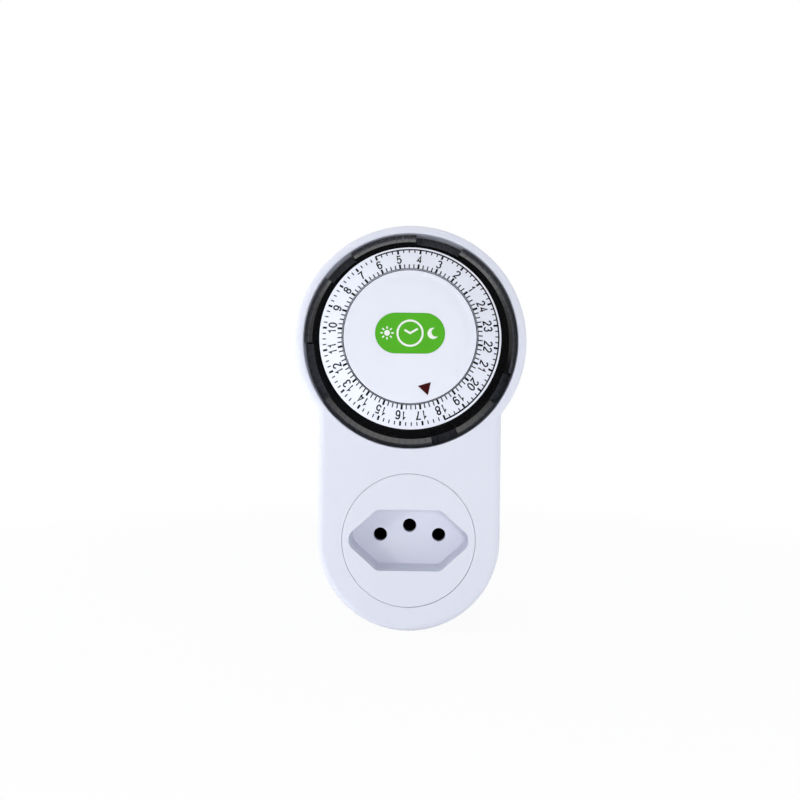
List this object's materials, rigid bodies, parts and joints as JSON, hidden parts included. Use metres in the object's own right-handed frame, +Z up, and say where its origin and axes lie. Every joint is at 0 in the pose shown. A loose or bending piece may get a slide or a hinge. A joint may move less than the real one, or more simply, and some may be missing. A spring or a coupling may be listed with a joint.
{
  "type": "plug-in timer switch",
  "caption": "Plug-in mechanical 24 hour timer switch: round dial with push-in tappets over a straight-through three-pin outlet, with the plug behind it.",
  "frame": {"origin": "centre of the plug's engagement face, midway between the line and neutral pins", "axes": "+X to the right seen from the front, +Y into the wall along the pins, +Z up through the dial axis"},
  "size_m": [0.0718, 0.077, 0.1255],
  "materials": {
    "white_plastic": "moulded plastic, satin gloss",
    "dial_plastic": "moulded plastic with printed scale",
    "black_plastic": "moulded plastic, gloss",
    "grey_plastic": "moulded plastic, matt",
    "gear_plastic": "acetal, matt",
    "red_plastic": "moulded plastic",
    "red_print": "printed",
    "green_print": "printed",
    "steel": "rolled steel",
    "brass": "stamped brass",
    "plated_brass": "nickel plated brass",
    "copper": "enamelled copper wire",
    "magnet": "ferrite",
    "lead_sleeve": "wire sleeve"
  },
  "bodies": {
    "housing": {"badge": "green_print", "center_disc": "dial_plastic", "coil_bobbin": "black_plastic", "coil_winding": "copper", "earth_pin": "plated_brass", "earth_sleeve": "brass", "earth_strap": "brass", "front_cover": "white_plastic", "gear_arbors": "steel", "housing_screws": "steel", "insulating_washer": "grey_plastic", "line_in_strap": "brass", "line_out_strap": "brass", "line_pin": "plated_brass", "line_sleeve": "brass", "microswitch_case": "black_plastic", "motor_can": "steel", "motor_front_plate": "steel", "motor_leads": "lead_sleeve", "motor_screws": "steel", "movement_plate": "grey_plastic", "movement_rear_plate": "steel", "neutral_pin": "plated_brass", "neutral_sleeve": "brass", "neutral_strap": "brass", "outlet_insert": "white_plastic", "plate_pillars": "brass", "plate_screws": "steel", "plug_block": "white_plastic", "pointer": "red_print", "rear_cover": "white_plastic", "retaining_ring": "steel", "switch_terminals": "brass"},
    "dial": {"dial_carrier": "black_plastic", "dial_ring": "dial_plastic"},
    "clutch_output": {"clutch_pinion": "gear_plastic"},
    "clutch_input": {"clutch_wheel": "gear_plastic"},
    "first_gear": {"gear_1": "gear_plastic"},
    "second_gear": {"gear_2": "gear_plastic"},
    "third_gear": {"gear_3": "gear_plastic"},
    "rotor": {"rotor_magnet": "magnet", "rotor_shaft": "steel"},
    "lever": {"switch_lever": "steel"},
    "plunger": {"switch_plunger": "red_plastic"},
    "blade": {"contact_blade": "brass"},
    "override": {"override_slider": "red_plastic"},
    "group_00h45": {"tappets_00h45": "black_plastic"},
    "group_02h30": {"tappets_02h30": "black_plastic"},
    "group_04h15": {"tappets_04h15": "black_plastic"},
    "group_06h45": {"tappets_06h45": "black_plastic"},
    "group_08h00": {"tappets_08h00": "black_plastic"},
    "group_10h30": {"tappets_10h30": "black_plastic"},
    "group_12h45": {"tappets_12h45": "black_plastic"},
    "group_14h15": {"tappets_14h15": "black_plastic"},
    "group_15h45": {"tappets_15h45": "black_plastic"},
    "group_17h15": {"tappets_17h15": "black_plastic"},
    "group_18h15": {"tappets_18h15": "black_plastic"},
    "group_20h00": {"tappets_20h00": "black_plastic"},
    "group_21h15": {"tappets_21h15": "black_plastic"},
    "group_23h00": {"tappets_23h00": "black_plastic"}
  },
  "joints": [
    {"name": "dial_turn", "type": "hinge", "parent": "housing", "child": "dial", "pos_m": [0, -0.045, 0.0614], "axis": [0, 1, 0], "continuous": true},
    {"name": "clutch_output_turn", "type": "hinge", "parent": "housing", "child": "clutch_output", "pos_m": [-0.00343, -0.03, 0.0809], "axis": [0, 1, 0], "continuous": true},
    {"name": "rotor_turn", "type": "hinge", "parent": "housing", "child": "rotor", "pos_m": [-0.015, -0.03, 0.0654], "axis": [0, 1, 0], "continuous": true},
    {"name": "first_gear_turn", "type": "hinge", "parent": "housing", "child": "first_gear", "pos_m": [0.00004, -0.03, 0.05993], "axis": [0, 1, 0], "continuous": true},
    {"name": "second_gear_turn", "type": "hinge", "parent": "housing", "child": "second_gear", "pos_m": [0.01504, -0.03, 0.05993], "axis": [0, 1, 0], "continuous": true},
    {"name": "third_gear_turn", "type": "hinge", "parent": "housing", "child": "third_gear", "pos_m": [0.0099, -0.03, 0.07402], "axis": [0, 1, 0], "continuous": true},
    {"name": "clutch_input_turn", "type": "hinge", "parent": "housing", "child": "clutch_input", "pos_m": [-0.00343, -0.03, 0.0809], "axis": [0, 1, 0], "continuous": true},
    {"name": "push_00h45", "type": "slide", "parent": "dial", "child": "group_00h45", "axis": [0, 1, 0], "range_m": [0, 0.003]},
    {"name": "push_02h30", "type": "slide", "parent": "dial", "child": "group_02h30", "axis": [0, 1, 0], "range_m": [-0.003, 0]},
    {"name": "push_04h15", "type": "slide", "parent": "dial", "child": "group_04h15", "axis": [0, 1, 0], "range_m": [0, 0.003]},
    {"name": "push_06h45", "type": "slide", "parent": "dial", "child": "group_06h45", "axis": [0, 1, 0], "range_m": [-0.003, 0]},
    {"name": "push_08h00", "type": "slide", "parent": "dial", "child": "group_08h00", "axis": [0, 1, 0], "range_m": [0, 0.003]},
    {"name": "push_10h30", "type": "slide", "parent": "dial", "child": "group_10h30", "axis": [0, 1, 0], "range_m": [-0.003, 0]},
    {"name": "push_12h45", "type": "slide", "parent": "dial", "child": "group_12h45", "axis": [0, 1, 0], "range_m": [0, 0.003]},
    {"name": "push_14h15", "type": "slide", "parent": "dial", "child": "group_14h15", "axis": [0, 1, 0], "range_m": [0, 0.003]},
    {"name": "push_15h45", "type": "slide", "parent": "dial", "child": "group_15h45", "axis": [0, 1, 0], "range_m": [0, 0.003]},
    {"name": "push_17h15", "type": "slide", "parent": "dial", "child": "group_17h15", "axis": [0, 1, 0], "range_m": [-0.003, 0]},
    {"name": "push_18h15", "type": "slide", "parent": "dial", "child": "group_18h15", "axis": [0, 1, 0], "range_m": [0, 0.003]},
    {"name": "push_20h00", "type": "slide", "parent": "dial", "child": "group_20h00", "axis": [0, 1, 0], "range_m": [-0.003, 0]},
    {"name": "push_21h15", "type": "slide", "parent": "dial", "child": "group_21h15", "axis": [0, 1, 0], "range_m": [0, 0.003]},
    {"name": "push_23h00", "type": "slide", "parent": "dial", "child": "group_23h00", "axis": [0, 1, 0], "range_m": [0, 0.003]},
    {"name": "lever_turn", "type": "hinge", "parent": "housing", "child": "lever", "pos_m": [-0.00401, -0.0286, 0.03209], "axis": [0, 0, 1], "range_deg": [-11.6, 0]},
    {"name": "plunger_slide", "type": "slide", "parent": "housing", "child": "plunger", "axis": [0, 1, 0], "range_m": [-0.00061, 0]},
    {"name": "blade_turn", "type": "hinge", "parent": "housing", "child": "blade", "pos_m": [-0.00401, -0.0244, 0.03209], "axis": [0, 0, 1], "range_deg": [-5.1, 0]},
    {"name": "override_slide", "type": "slide", "parent": "housing", "child": "override", "axis": [0, 0, 1], "range_m": [-0.0026, 0]}
  ],
  "couplings": [
    {"joint": "clutch_output_turn", "follows": "dial_turn", "ratio": 6.5},
    {"joint": "first_gear_turn", "follows": "rotor_turn", "ratio": -0.23077},
    {"joint": "second_gear_turn", "follows": "rotor_turn", "ratio": 0.057692},
    {"joint": "third_gear_turn", "follows": "rotor_turn", "ratio": -0.014423},
    {"joint": "clutch_input_turn", "follows": "rotor_turn", "ratio": 0.0036058},
    {"joint": "lever_turn", "follows": "push_17h15", "rad_per_m": 66.904},
    {"joint": "plunger_slide", "follows": "push_17h15", "ratio": 0.2},
    {"joint": "blade_turn", "follows": "push_17h15", "rad_per_m": 29.089}
  ]
}
